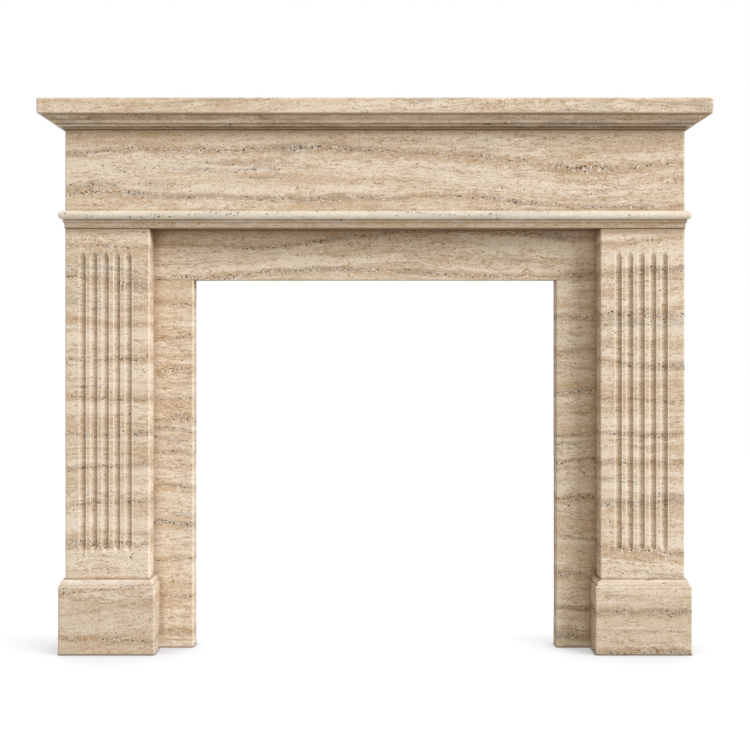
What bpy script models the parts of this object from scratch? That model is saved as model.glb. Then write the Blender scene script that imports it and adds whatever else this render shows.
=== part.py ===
"""Fireplace mantel in travertine: shelf, bed moulding, frieze, necking, fluted pilasters, plinths and slips.

Metres, +Z up. The origin is on the ground under the middle of the shelf. +X runs along the shelf and the wall
is at +Y. Every stone is one solid, and stones that touch keep the width of a fine joint between them.
"""
from math import cos, pi, radians, sin, sqrt

import bmesh
import bpy

# Joint between two stones, the arc steps of rounded shapes, and the largest turn shaded smooth, in degrees
JOINT = 0.0003
ARRIS_STEPS = 2
QUARTER_STEPS = 5
TORUS_STEPS = 12
SHARPEST_ROUND = 28

# Shelf slab
SHELF_LENGTH = 1.372
SHELF_DEPTH = 0.138
SHELF_THICKNESS = 0.0319
SHELF_EASING = 0.003
SHELF_EASING_STEPS = 3

# Slight rounding of the mitred corners of both long mouldings
MITRE_EASING = 0.0010

# How far the shelf stands out past the frieze, in front and at both ends
SHELF_OVERHANG = 0.0467

# Bed moulding under the shelf: heights, and how far each member stands out past the one below it
BED_BEAD_HEIGHT = 0.0042
BED_BEAD_PROJECTION = 0.0052
BED_CAVETTO_HEIGHT = 0.0019
BED_FILLET_HEIGHT = 0.0022
BED_FILLET_PROJECTION = 0.0108
BED_QUIRK_HEIGHT = 0.0012
BED_QUIRK_DEPTH = 0.0022
BED_CYMA_HEIGHT = 0.0135
BED_CYMA_PROJECTION = 0.0175
BED_TOP_FILLET_HEIGHT = 0.0022
BED_TOP_FILLET_PROJECTION = 0.0010

# Frieze block
FRIEZE_HEIGHT = 0.1668
FRIEZE_EASING = 0.0022

# Necking moulding, from its foot up to the torus; the foot is rounded in towards the stones below it
NECKING_FOOT_HEIGHT = 0.0036
NECKING_FOOT_PROJECTION = 0.0018
NECKING_FOOT_SETBACK = 0.0014
NECKING_CAVETTO_HEIGHT = 0.0090
NECKING_CAVETTO_PROJECTION = 0.0026
NECKING_FILLET_HEIGHT = 0.0034
NECKING_FILLET_PROJECTION = 0.0006
NECKING_QUIRK_HEIGHT = 0.0014
NECKING_QUIRK_DEPTH = 0.0016
NECKING_TORUS_HEIGHT = 0.0190
NECKING_TORUS_CENTRE = 0.0025

# Pilasters
PILASTER_WIDTH = 0.1741
PILASTER_HEIGHT = 0.7232
PILASTER_EASING = 0.0025

# Flutes in the pilasters' faces, with pointed ends
FLUTE_COUNT = 5
FLUTE_PITCH = 0.0237
FLUTE_WIDTH = 0.0140
FLUTE_DEPTH = 0.0056
FLUTE_POINT_LENGTH = 0.0150
FLUTE_FOOT_MARGIN = 0.0537
FLUTE_HEAD_MARGIN = 0.0466
FLUTE_SIDES = 14
FLUTE_POINT_STEPS = 6

# How far the group of flutes sits from the middle of each pilaster's face, along X
LEFT_FLUTES_SHIFT = -0.0038
RIGHT_FLUTES_SHIFT = -0.0025

# Plinths under the pilasters
PLINTH_BLOCK_HEIGHT = 0.1410
PLINTH_PROJECTION = 0.0120
PLINTH_FILLET_HEIGHT = 0.0012
PLINTH_FILLET_WIDTH = 0.0034
PLINTH_OVOLO_HEIGHT = 0.0112
PLINTH_TOP_FILLET_HEIGHT = 0.0006
PLINTH_LEDGE = 0.0044
PLINTH_EASING = 0.0020

# Slips around the fire opening, which stand in a rebate cut in the back of pilasters and plinths
SLIP_SETBACK = 0.0513
SLIP_FACE_WIDTH = 0.0834
SLIP_TUCK = 0.025
SLIP_EASING = 0.0030
LINTEL_FACE_HEIGHT = 0.1040

# Finish of the stone
TRAVERTINE_COLOUR = (0.66, 0.50, 0.34)
TRAVERTINE_ROUGHNESS = 0.6

# Plan lines shared by all the stones
WALL = SHELF_DEPTH / 2
FRIEZE_HALF = SHELF_LENGTH / 2 - SHELF_OVERHANG
FRIEZE_FRONT = -SHELF_DEPTH / 2 + SHELF_OVERHANG
PILASTER_INNER = FRIEZE_HALF - PILASTER_WIDTH
SLIP_FRONT = FRIEZE_FRONT + SLIP_SETBACK
SLIP_OUTER = PILASTER_INNER + SLIP_TUCK
OPENING_HALF = PILASTER_INNER - SLIP_FACE_WIDTH


def cleared_scene():
    """Takes everything out of the scene, so that only the mantel is in it."""
    for old in list(bpy.data.objects):
        bpy.data.objects.remove(old)


def travertine(stone):
    """Gives one stone its own honed travertine material."""
    material = bpy.data.materials.new(f"travertine_{stone.name}")
    material.use_nodes = True
    shader = material.node_tree.nodes["Principled BSDF"]
    shader.inputs["Base Color"].default_value = (*TRAVERTINE_COLOUR, 1.0)
    shader.inputs["Roughness"].default_value = TRAVERTINE_ROUGHNESS
    shader.inputs["Metallic"].default_value = 0.0
    stone.data.materials.append(material)


def placed_shape(name, bm):
    """Turns a finished bmesh into a named object whose round faces are shaded smooth."""
    bmesh.ops.recalc_face_normals(bm, faces=bm.faces)
    mesh = bpy.data.meshes.new(name)
    bm.to_mesh(mesh)
    bm.free()
    mesh.shade_smooth()
    mesh.set_sharp_from_angle(angle=radians(SHARPEST_ROUND))
    shape = bpy.data.objects.new(name, mesh)
    bpy.context.scene.collection.objects.link(shape)
    return shape


def placed_stone(name, bm):
    """One stone of the mantel, with its material."""
    stone = placed_shape(name, bm)
    travertine(stone)
    return stone


def arc(centre, radius, start, end, steps):
    """Points on an arc in a plane, from one angle to another, both ends included."""
    turns = [start + (end - start) * i / steps for i in range(steps + 1)]
    return [(centre[0] + radius[0] * cos(t), centre[1] + radius[1] * sin(t)) for t in turns]


def eased_plan(left, right, front, back, easing):
    """Plan outline of a block against the wall, whose two front corners are rounded off."""
    size = (easing, easing)
    front_left = arc((left + easing, front + easing), size, pi, 1.5 * pi, ARRIS_STEPS)
    front_right = arc((right - easing, front + easing), size, 1.5 * pi, 2 * pi, ARRIS_STEPS)
    return [(left, back), *front_left, *front_right, (right, back)]


def stacked_solid(rings):
    """Closed solid through plan outlines of equal point count, whose first and last points lie on the wall."""
    bm = bmesh.new()
    rows = [[bm.verts.new((x, y, z)) for x, y in outline] for outline, z in rings]
    for lower, upper in zip(rows, rows[1:]):
        for i in range(len(lower) - 1):
            bm.faces.new((lower[i], lower[i + 1], upper[i + 1], upper[i]))
    bm.faces.new(rows[0])
    bm.faces.new(rows[-1])
    bm.faces.new([row[0] for row in rows] + [row[-1] for row in reversed(rows)])
    return bm


def moulded_solid(left, right, front, profile, easing):
    """Block whose front and two ends carry a moulding, given as (projection, height) from the bottom up."""
    rings = []
    for projection, height in profile:
        plan = eased_plan(left - projection, right + projection, front - projection, WALL, easing)
        rings.append((plan, height))
    return stacked_solid(rings)


def box_solid(low, high):
    """Plain box between two corners."""
    bm = bmesh.new()
    bmesh.ops.create_cube(bm, size=1.0)
    for vert in bm.verts:
        vert.co = [low[i] if vert.co[i] < 0 else high[i] for i in range(3)]
    return bm


def cutter(name, bm):
    """A hidden shape that is cut out of a stone."""
    shape = placed_shape(name, bm)
    shape.hide_render = True
    shape.display_type = "WIRE"
    return shape


def cut(stone, shape):
    """Cuts a hidden shape out of a stone with a live Boolean modifier."""
    modifier = stone.modifiers.new(f"cut_{shape.name}", "BOOLEAN")
    modifier.operation = "DIFFERENCE"
    modifier.object = shape


def bed_profile(bottom):
    """Bed moulding from its bead up: bead, cavetto, fillet, quirk, cyma and top fillet."""
    bead_top = bottom + BED_BEAD_HEIGHT
    bead_flat = BED_BEAD_PROJECTION - BED_BEAD_HEIGHT / 2
    half_bead = BED_BEAD_HEIGHT / 2
    bead = arc((bead_flat, bottom + half_bead), (half_bead, half_bead), -pi / 2, pi / 2, 2 * QUARTER_STEPS)
    fillet_out = BED_BEAD_PROJECTION + BED_FILLET_PROJECTION
    fillet_low = bead_top + BED_CAVETTO_HEIGHT
    hollow_size = (fillet_out - bead_flat, BED_CAVETTO_HEIGHT)
    cavetto = arc((fillet_out, bead_top), hollow_size, pi, pi / 2, QUARTER_STEPS)
    fillet_high = fillet_low + BED_FILLET_HEIGHT
    quirk_in = fillet_out - BED_QUIRK_DEPTH
    cyma_low = fillet_high + BED_QUIRK_HEIGHT
    half_run = BED_CYMA_PROJECTION / 2
    half_rise = BED_CYMA_HEIGHT / 2
    turn = (half_run, half_rise)
    belly = arc((fillet_out, cyma_low + half_rise), turn, -pi / 2, 0, QUARTER_STEPS)
    hollow = arc((fillet_out + 2 * half_run, cyma_low + half_rise), turn, pi, pi / 2, QUARTER_STEPS)
    cyma_high = cyma_low + BED_CYMA_HEIGHT
    top_out = fillet_out + BED_CYMA_PROJECTION + BED_TOP_FILLET_PROJECTION
    top = cyma_high + BED_TOP_FILLET_HEIGHT
    points = [(0.0, bottom), *bead, *cavetto[1:], (fillet_out, fillet_high), (quirk_in, fillet_high)]
    points += [(quirk_in, cyma_low), *belly, *hollow[1:], (top_out, cyma_high), (top_out, top)]
    return points


def necking_profile(bottom):
    """Necking from its foot up: small ovolo, cavetto, fillet, quirk and torus."""
    foot_out = NECKING_FOOT_PROJECTION
    foot_in = foot_out - NECKING_FOOT_SETBACK
    foot_high = bottom + NECKING_FOOT_HEIGHT
    hollow_low = foot_out - NECKING_FILLET_PROJECTION
    foot = arc((foot_in, foot_high), (NECKING_FOOT_SETBACK, NECKING_FOOT_HEIGHT), -pi / 2, 0, QUARTER_STEPS)
    hollow_size = (NECKING_CAVETTO_PROJECTION, NECKING_CAVETTO_HEIGHT)
    hollow_out = hollow_low + NECKING_CAVETTO_PROJECTION
    cavetto = arc((hollow_out, foot_high), hollow_size, pi, pi / 2, QUARTER_STEPS)
    fillet_low = foot_high + NECKING_CAVETTO_HEIGHT
    fillet_out = hollow_out + NECKING_FILLET_PROJECTION
    fillet_high = fillet_low + NECKING_FILLET_HEIGHT
    quirk_in = fillet_out - NECKING_QUIRK_DEPTH
    torus_low = fillet_high + NECKING_QUIRK_HEIGHT
    radius = NECKING_TORUS_HEIGHT / 2
    torus_centre = (NECKING_TORUS_CENTRE, torus_low + radius)
    torus = arc(torus_centre, (radius, radius), -pi / 2, pi / 2, TORUS_STEPS)
    points = [*foot, *cavetto, (fillet_out, fillet_low)]
    points += [(fillet_out, fillet_high), (quirk_in, fillet_high), (quirk_in, torus_low), *torus]
    return points + [(0.0, torus_low + 2 * radius)]


def plinth_profile():
    """Plinth from the ground up: plain block, set-in fillet, ovolo and the ledge under the pilaster."""
    out = PLINTH_PROJECTION
    fillet_high = PLINTH_BLOCK_HEIGHT + PLINTH_FILLET_HEIGHT
    ovolo_out = out - PLINTH_FILLET_WIDTH
    ovolo_size = (ovolo_out - PLINTH_LEDGE, PLINTH_OVOLO_HEIGHT)
    ovolo = arc((PLINTH_LEDGE, fillet_high), ovolo_size, 0, pi / 2, QUARTER_STEPS)
    ovolo_high = fillet_high + PLINTH_OVOLO_HEIGHT
    top = ovolo_high + PLINTH_TOP_FILLET_HEIGHT
    block = [(out, 0.0), (out, PLINTH_BLOCK_HEIGHT), (ovolo_out, PLINTH_BLOCK_HEIGHT)]
    return [*block, *ovolo, (PLINTH_LEDGE, top)]


def shelf(bottom):
    """Shelf slab, eased along its front and end edges and left square against the wall."""
    half = SHELF_LENGTH / 2
    bm = box_solid((-half, -WALL, bottom), (half, WALL, bottom + SHELF_THICKNESS))
    edges = [edge for edge in bm.edges if min(vert.co.y for vert in edge.verts) < 0]
    steps = SHELF_EASING_STEPS
    bmesh.ops.bevel(bm, geom=edges, offset=SHELF_EASING, segments=steps, profile=0.5, affect="EDGES")
    placed_stone("mantel_shelf", bm)


def flute_depth(rise):
    """Depth of a flute at a height above the springing of its pointed end, both measured along the flute."""
    half = FLUTE_WIDTH / 2
    point_radius = (FLUTE_POINT_LENGTH**2 + half**2) / (2 * half)
    half_here = sqrt(point_radius**2 - rise**2) - (point_radius - half)
    nose = (half**2 + FLUTE_DEPTH**2) / (2 * FLUTE_DEPTH)
    return nose - sqrt(nose**2 - half_here**2)


def flute_path(low, high):
    """Heights and depths that a round-nosed tool passes through along one flute, ends included."""
    steps = [FLUTE_POINT_LENGTH * i / FLUTE_POINT_STEPS for i in range(FLUTE_POINT_STEPS + 1)]
    lower = [(low + FLUTE_POINT_LENGTH - rise, flute_depth(rise)) for rise in reversed(steps)]
    upper = [(high - FLUTE_POINT_LENGTH + rise, flute_depth(rise)) for rise in steps]
    run_out = FLUTE_POINT_LENGTH / FLUTE_POINT_STEPS
    return [(low - run_out, -FLUTE_DEPTH), *lower, *upper, (high + run_out, -FLUTE_DEPTH)]


def flute_cutter(name, middle, low, high):
    """Five round-nosed tool paths side by side, which cut the flutes of one pilaster."""
    half = FLUTE_WIDTH / 2
    nose = (half**2 + FLUTE_DEPTH**2) / (2 * FLUTE_DEPTH)
    turns = [2 * pi * i / FLUTE_SIDES for i in range(FLUTE_SIDES)]
    bm = bmesh.new()
    for number in range(FLUTE_COUNT):
        x = middle + (number - (FLUTE_COUNT - 1) / 2) * FLUTE_PITCH
        rings = []
        for z, depth in flute_path(low, high):
            y = FRIEZE_FRONT + depth - nose
            rings.append([bm.verts.new((x + nose * sin(t), y + nose * cos(t), z)) for t in turns])
        for lower, upper in zip(rings, rings[1:]):
            for i in range(FLUTE_SIDES):
                following = (i + 1) % FLUTE_SIDES
                bm.faces.new((lower[i], lower[following], upper[following], upper[i]))
        bm.faces.new(rings[0])
        bm.faces.new(rings[-1])
    return cutter(name, bm)


def rebate_cutter(name, side, inner, bottom, top):
    """Box that clears the rear inner corner of a pilaster or plinth for the slips."""
    past = SLIP_TUCK
    ends = sorted((side * (inner - past), side * SLIP_OUTER))
    low = (ends[0], SLIP_FRONT - JOINT, bottom - past)
    high = (ends[1], WALL + past, top + past)
    return cutter(name, box_solid(low, high))


def pilaster(name, side, bottom, flutes_shift):
    """Upright stone with five stopped flutes in its face and a rebate behind for the slips."""
    top = bottom + PILASTER_HEIGHT
    ends = sorted((side * PILASTER_INNER, side * FRIEZE_HALF))
    plan = eased_plan(ends[0], ends[1], FRIEZE_FRONT, WALL, PILASTER_EASING)
    stone = placed_stone(name, stacked_solid([(plan, bottom), (plan, top)]))
    middle = sum(ends) / 2 + flutes_shift
    low = bottom + FLUTE_FOOT_MARGIN
    cut(stone, flute_cutter(f"{name}_flutes", middle, low, top - FLUTE_HEAD_MARGIN))
    cut(stone, rebate_cutter(f"{name}_rebate", side, PILASTER_INNER, bottom, top))


def plinth(name, side, top):
    """Base block, moulded on its front and both sides, with the same rebate behind."""
    ends = sorted((side * PILASTER_INNER, side * FRIEZE_HALF))
    solid = moulded_solid(ends[0], ends[1], FRIEZE_FRONT, plinth_profile(), PLINTH_EASING)
    stone = placed_stone(name, solid)
    inner = PILASTER_INNER - PLINTH_PROJECTION
    cut(stone, rebate_cutter(f"{name}_rebate", side, inner, 0.0, top))


def slips(top):
    """Lintel slip on two jamb slips, all of one thickness, in the rebates behind the pilasters."""
    reach = SLIP_OUTER - JOINT
    lintel_bottom = top - LINTEL_FACE_HEIGHT
    placed_stone("lintel_slip", box_solid((-reach, SLIP_FRONT, lintel_bottom), (reach, WALL, top)))
    jamb_top = lintel_bottom - JOINT
    for name, side in (("left_jamb_slip", -1), ("right_jamb_slip", 1)):
        plan = [(OPENING_HALF, WALL)]
        size = (SLIP_EASING, SLIP_EASING)
        plan += arc((OPENING_HALF + SLIP_EASING, SLIP_FRONT + SLIP_EASING), size, pi, 1.5 * pi, ARRIS_STEPS)
        plan += [(reach, SLIP_FRONT), (reach, WALL)]
        plan = [(side * x, y) for x, y in plan]
        placed_stone(name, stacked_solid([(plan, 0.0), (plan, jamb_top)]))


def mantel():
    """Builds the stones from the ground up, each a joint above the one it stands on."""
    plinth_top = plinth_profile()[-1][1]
    for side_name, side, shift in (("left", -1, LEFT_FLUTES_SHIFT), ("right", 1, RIGHT_FLUTES_SHIFT)):
        plinth(f"{side_name}_plinth", side, plinth_top)
        pilaster(f"{side_name}_pilaster", side, plinth_top + JOINT, shift)
    pilaster_top = plinth_top + JOINT + PILASTER_HEIGHT
    slips(pilaster_top)
    necking = necking_profile(pilaster_top + JOINT)
    solid = moulded_solid(-FRIEZE_HALF, FRIEZE_HALF, FRIEZE_FRONT, necking, MITRE_EASING)
    placed_stone("necking_moulding", solid)
    frieze_bottom = necking[-1][1] + JOINT
    frieze_top = frieze_bottom + FRIEZE_HEIGHT
    plan = eased_plan(-FRIEZE_HALF, FRIEZE_HALF, FRIEZE_FRONT, WALL, FRIEZE_EASING)
    placed_stone("frieze", stacked_solid([(plan, frieze_bottom), (plan, frieze_top)]))
    bed = bed_profile(frieze_top + JOINT)
    solid = moulded_solid(-FRIEZE_HALF, FRIEZE_HALF, FRIEZE_FRONT, bed, MITRE_EASING)
    placed_stone("bed_moulding", solid)
    shelf(bed[-1][1] + JOINT)


cleared_scene()
mantel()
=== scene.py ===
"""Looks of a travertine fireplace mantel: eleven honed stones, with their beds, pits and mouldings."""

from math import ceil, cos, pi, radians, sin

import bmesh
import bpy
import numpy as np
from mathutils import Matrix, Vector


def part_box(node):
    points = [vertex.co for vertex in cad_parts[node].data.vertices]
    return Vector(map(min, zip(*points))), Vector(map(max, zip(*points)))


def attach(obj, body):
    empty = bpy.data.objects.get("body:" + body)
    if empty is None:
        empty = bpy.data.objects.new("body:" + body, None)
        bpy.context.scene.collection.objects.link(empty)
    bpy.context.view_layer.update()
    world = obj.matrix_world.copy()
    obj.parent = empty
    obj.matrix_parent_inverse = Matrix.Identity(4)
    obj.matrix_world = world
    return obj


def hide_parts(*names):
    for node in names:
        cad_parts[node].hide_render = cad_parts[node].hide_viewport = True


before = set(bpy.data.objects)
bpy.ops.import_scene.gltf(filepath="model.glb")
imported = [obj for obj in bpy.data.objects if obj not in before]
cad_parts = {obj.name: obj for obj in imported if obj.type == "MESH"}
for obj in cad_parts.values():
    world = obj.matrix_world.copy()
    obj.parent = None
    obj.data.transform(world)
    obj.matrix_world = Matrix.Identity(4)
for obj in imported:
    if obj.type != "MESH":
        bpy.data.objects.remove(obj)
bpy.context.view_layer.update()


# Plinths. Two base blocks of honed travertine, sawn square, with a small fillet and ovolo worked along the
# top of the front and both sides. They are bedded on the hearth and rebated behind for the slips.

GRAIN = 0.0023  # spacing of the points on a stone's visible faces
FINE_GRAIN = 0.0015
ARC_STEPS = 3
SHARPEST_ROUND = 32  # degrees
SHARP_TURN = 0.8  # sine of the smallest turn that counts as a sharp corner
ARRIS_EASING = 0.0009
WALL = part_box("frieze")[1].y
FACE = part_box("left_pilaster")[0].y
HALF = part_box("frieze")[1].x
JOINT = 0.0003


def arc(centre, size, start, end, steps):
    """Points on part of an ellipse, from one angle to another, both ends included."""
    turns = np.linspace(start, end, steps + 1)
    return [(centre[0] + size[0] * cos(t), centre[1] + size[1] * sin(t)) for t in turns]


def steps_over(length, spacing=GRAIN):
    """How many equal steps cover a length at about the given spacing."""
    return max(1, ceil(length / spacing))


def walk(corners, counts, eased, radius):
    """Points along an outline: straight stretches in equal steps, with the eased corners as small arcs."""
    corners = np.array(corners, float)
    ways = np.diff(corners, axis=0)
    ways /= np.linalg.norm(ways, axis=1)[:, None]
    line = [corners[0]]
    for i, count in enumerate(counts):
        corner = corners[i + 1]
        rounded = i + 1 in eased
        start = line[-1]
        end = corner - radius * ways[i] if rounded else corner
        line += [start + (end - start) * k / count for k in range(1, count + 1)]
        for k in range(1, ARC_STEPS + 1 if rounded else 1):
            t = pi / 2 * k / ARC_STEPS
            line.append(corner - radius * ways[i] * (1 - sin(t)) + radius * ways[i + 1] * (1 - cos(t)))
    return np.array(line)


def skin(name, rings):
    """Closed stone through rings of points, each from the wall round the worked faces to the wall."""
    rings = np.array(rings, float)
    count, width = rings.shape[:2]
    faces = []
    for i in range(count - 1):
        row = i * width
        faces += [(row + j, row + j + 1, row + j + 1 + width, row + j + width) for j in range(width - 1)]
    first_column = [i * width for i in range(count)]
    faces.append(list(range(width)))
    faces.append([(count - 1) * width + j for j in range(width)])
    faces.append(first_column + [i + width - 1 for i in reversed(first_column)])
    mesh = bpy.data.meshes.new(name)
    mesh.from_pydata(rings.reshape(-1, 3), [], faces)
    bm = bmesh.new()
    bm.from_mesh(mesh)
    bmesh.ops.recalc_face_normals(bm, faces=bm.faces)
    bm.to_mesh(mesh)
    bm.free()
    loose = np.ones((count, width), np.float32)
    loose[0] = loose[-1] = 0
    loose[:, 0] = loose[:, -1] = 0
    mesh.attributes.new("loose", "FLOAT", "POINT").data.foreach_set("value", loose.ravel())
    stone = bpy.data.objects.new(f"{name}_stone", mesh)
    bpy.context.scene.collection.objects.link(stone)
    return stone


def eased_profile(points, radius):
    """A moulding's profile, from the bottom up, with its sharp outward corners rounded off."""
    line = [points[0]]
    for before, corner, after in zip(points, points[1:], points[2:]):
        come, leave = np.subtract(corner, before), np.subtract(after, corner)
        long_come, long_leave = np.hypot(*come), np.hypot(*leave)
        turn = (come[0] * leave[1] - come[1] * leave[0]) / (long_come * long_leave)
        if turn < SHARP_TURN:
            line.append(corner)
            continue
        cut = min(radius, long_come / 3, long_leave / 3)
        start = np.subtract(corner, cut * come / long_come)
        end = np.add(corner, cut * leave / long_leave)
        line += [tuple(start), tuple((start + end) / 4 + np.array(corner) / 2), tuple(end)]
    return line + [points[-1]]


def moulding(points):
    """A moulding's profile with eased arrises and with points added along its longer flat members."""
    points = eased_profile(points, ARRIS_EASING)
    line = [points[0]]
    for start, end in zip(points, points[1:]):
        count = steps_over(np.hypot(end[0] - start[0], end[1] - start[1]))
        line += [tuple(np.add(start, np.subtract(end, start) * k / count)) for k in range(1, count + 1)]
    return line


class Tree:
    """Writes a node tree node by node. A node's inputs are given in order, as sockets or plain values."""

    def __init__(self, tree):
        self.tree = tree

    def add(self, kind, *inputs, **settings):
        """Adds a node and gives back the node itself."""
        new = self.tree.nodes.new(kind)
        for key, value in settings.items():
            setattr(new, key, value)
        for place, value in enumerate(inputs):
            self.feed(new.inputs[place], value)
        return new

    def feed(self, socket, value):
        """Links a socket to another, sets it to a plain value, or leaves it as it is for None."""
        if isinstance(value, bpy.types.NodeSocket):
            self.tree.links.new(value, socket)
        elif value is not None:
            socket.default_value = value

    def reckon(self, operation, *inputs):
        """Result of a Math node."""
        return self.add("ShaderNodeMath", *inputs, operation=operation).outputs[0]

    def vector(self, operation, *inputs):
        """Result of a Vector Math node."""
        return self.add("ShaderNodeVectorMath", *inputs, operation=operation).outputs[0]

    def between(self, value, low, high, least=0.0, most=1.0):
        """Value taken smoothly from least at low to most at high, and held outside them."""
        new = self.add("ShaderNodeMapRange", value, low, high, least, most, interpolation_type="SMOOTHSTEP")
        return new.outputs[0]

    def noise(self, place, stretch, detail=4.0, roughness=0.55, distortion=0.0):
        """Noise from 0 to 1, whose place is first multiplied by the given number of features per metre."""
        scaled = self.vector("MULTIPLY", place, stretch)
        new = self.add("ShaderNodeTexNoise")
        self.feed(new.inputs["Vector"], scaled)
        for name, value in (("Scale", 1.0), ("Detail", detail), ("Roughness", roughness)):
            self.feed(new.inputs[name], value)
        self.feed(new.inputs["Distortion"], distortion)
        return new.outputs[0]


# Layers of the stone, in features per metre along X, Y and Z, so that the beds lie level in every piece
BED_SAG = (1.9, 1.9, 3.2)
BED_SAG_HEIGHT = 0.085
RIPPLES = (12.0, 12.0, 14.0)
RIPPLE_HEIGHT = 0.016
SEAMS = 13.0  # seams per metre of height
SEAM_WANDER = (1.2, 1.2, 7.0)
SEAM_REACH = (2.6, 2.6, 9.0)
SEAM_WIDTH = 0.0052
SEAM_RISE = 1.5  # how far the seams wander, in seams
OPEN_SEAMS = (0.38, 0.47)  # values of the reach noise between which a seam goes from dense to open
BANDS = (2.6, 2.6, 42.0)
CLOUDS = (17.0, 17.0, 58.0)
CURLS = (118.0, 118.0, 185.0)
VEINS = (11.0, 11.0, 72.0)
VEINED_BEDS = (2.6, 2.6, 20.0)
PALE_LINES = (26.0, 26.0, 115.0)
GREY_LENSES = (4.0, 4.0, 50.0)
GREY_BEDS = (0.9, 0.9, 13.0)
GREY_SEAMS = (4.5, 4.5, 9.0)
FLECKS = (150.0, 150.0, 230.0)
LARGE_HOLES = (135.0, 135.0, 270.0)
SMALL_HOLES = (280.0, 280.0, 460.0)


def bedded(tree, place):
    """A place moved up and down with the slow waves of the beds."""
    wave = tree.reckon("SUBTRACT", tree.noise(place, BED_SAG, detail=4.0, roughness=0.45), 0.5)
    ripple = tree.reckon("SUBTRACT", tree.noise(place, RIPPLES, detail=3.0), 0.5)
    rise = tree.reckon("MULTIPLY", wave, BED_SAG_HEIGHT)
    rise = tree.reckon("ADD", rise, tree.reckon("MULTIPLY", ripple, RIPPLE_HEIGHT))
    lift = tree.add("ShaderNodeCombineXYZ", 0.0, 0.0, rise)
    return tree.vector("ADD", place, lift.outputs[0])


def from_seam(tree, place):
    """About how many metres a place lies above or below the nearest thin porous seam."""
    height = tree.add("ShaderNodeSeparateXYZ", place).outputs[2]
    wander = tree.reckon("MULTIPLY", tree.noise(place, SEAM_WANDER, detail=3.0), SEAM_RISE)
    level = tree.reckon("ADD", tree.reckon("MULTIPLY", height, SEAMS), wander)
    off = tree.reckon("SUBTRACT", tree.reckon("FRACT", level), 0.5)
    return tree.reckon("DIVIDE", tree.reckon("ABSOLUTE", off), SEAMS)


def porous(tree, place):
    """How open the stone is at a place: 0 in dense beds, 1 in the seams, which come and go."""
    seam = tree.between(from_seam(tree, place), SEAM_WIDTH, SEAM_WIDTH / 3)
    reach = tree.between(tree.noise(place, SEAM_REACH, detail=2.0), *OPEN_SEAMS)
    return tree.reckon("MULTIPLY", seam, reach)


# Colours of the stone, and of the painted shade and highlights on it
CREAM = (0.790, 0.655, 0.498)
BEIGE = (0.700, 0.540, 0.370)
TAN = (0.560, 0.385, 0.225)
BROWN = (0.330, 0.190, 0.090)
GREY = (0.420, 0.330, 0.240)
CHALK = (0.920, 0.820, 0.670)
PALEST = (0.970, 0.900, 0.770)
PIT_SHADE = (0.115, 0.060, 0.025)
GOLD = (0.430, 0.255, 0.105)
# colour of the painted shade
SHADE_TONE = (0.270, 0.165, 0.080)

# Where each colour shows: the value at which it begins, the value at which it is full, its least share and
# its full share. A value is that of a noise, metres from a seam or from the ground, or a bend in radians.
BEIGE_BANDS = (0.44, 0.54, 0.0, 0.70)
TAN_BANDS = (0.54, 0.60, 0.0, 0.65)
SEAM_STAIN = (0.013, 0.004, 0.0, 0.90)
STAINED_CLOUDS = (0.34, 0.48)
TAN_CLOUDS = (0.53, 0.66, 0.0, 0.65)
CHALK_CLOUDS = (0.46, 0.34, 0.0, 0.45)
TAN_CURLS = (0.53, 0.66, 0.0, 0.72)
CHALK_CURLS = (0.46, 0.33, 0.0, 0.72)
BROKEN_LINES = (0.36, 0.52)
VEINED = (0.44, 0.56)
PALE_LINED_CLOUDS = (0.40, 0.50)
SEAM_CORE = (0.0034, 0.0006, 0.0, 0.45)
LENSES = (0.51, 0.57)
LENS_BEDS = (0.54, 0.60, 0.0, 0.62)
LENS_CLOUDS = (0.42, 0.54, 0.3, 1.0)
SEAM_GREY = (0.0090, 0.0035, 0.0, 0.58)
SEAM_GREY_CLOUDS = (0.36, 0.50, 0.4, 1.0)
SEAM_GREY_REACH = (0.50, 0.57)
GOLDEN_FLECKS = (0.61, 0.69, 0.0, 0.80)
# Painted highlights: gentle convex bends and sharper arrises paled, where light catches them
BEND_HIGHLIGHT = (0.06, 0.14, 0.0, 0.25)
ARRIS_HIGHLIGHT = (0.28, 0.46, 0.0, 0.95)
# Painted shade along the foot of every stone, where it stands on the floor
FOOT_SHADE = (0.0040, 0.0015, 0.0, 0.75)
# Painted shade where other surfaces are near, by ambient occlusion, lessened at the very foot
OCCLUSION_SHADE = (0.92, 0.30, 0.0, 0.66)
OCCLUSION_SHADE_HEIGHT = (0.0, 0.030, 0.3, 1.0)

# Thin lines where a noise passes through its middle: half the width, in values of the noise, and the share
PALE_LINE = (0.030, 0.60)
VEIN = (0.028, 0.80)
BAND_LINE = (0.010, 0.60)

# Painted holes, one to a cell, and sunk pores. Rims and openings are given as above, by how far a place is
# from the middle of its cell, or by how deep it lies in its pore.
LARGE_SHARE = (0.002, 0.44)  # share of the cells that are holes in dense stone, and how much open beds add
SMALL_SHARE = (0.003, 0.24)
RAGGED = 1.3  # how much the curls eat into the outlines
HOLE_RIM = (0.66, 0.42, 0.0, 0.90)
UNRIMMED = 0.35  # share of the holes that have no pale rim
HOLE_OPENING = (0.43, 0.27)
PIT_REACH = (0.0, 0.1)
PIT_RIM = (0.05, 0.30, 0.0, 0.35)
PIT_OPENING = (0.35, 0.60)
HOLE_SHARE = 0.88  # how strongly the shade fills them

# Surface, and where painted shade lies on it
SPECULAR = 0.22
ROUGHNESS = 0.45
CURL_ROUGHNESS = 0.20
HOLE_ROUGHNESS = 0.9
CURL_RELIEF = 0.40
RELIEF_STRENGTH = 0.45
RELIEF_DEPTH = 0.0012
SOFT_ARRIS = 0.0011  # radius over which light softens on every edge
SHELTER = 0.030  # how far away a surface can be and still darken another with painted shade
HOLLOW_SHADE = (-0.20, -0.50, 0.60)  # bends where painted shade begins and is full in a concave line, and its share


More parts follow.
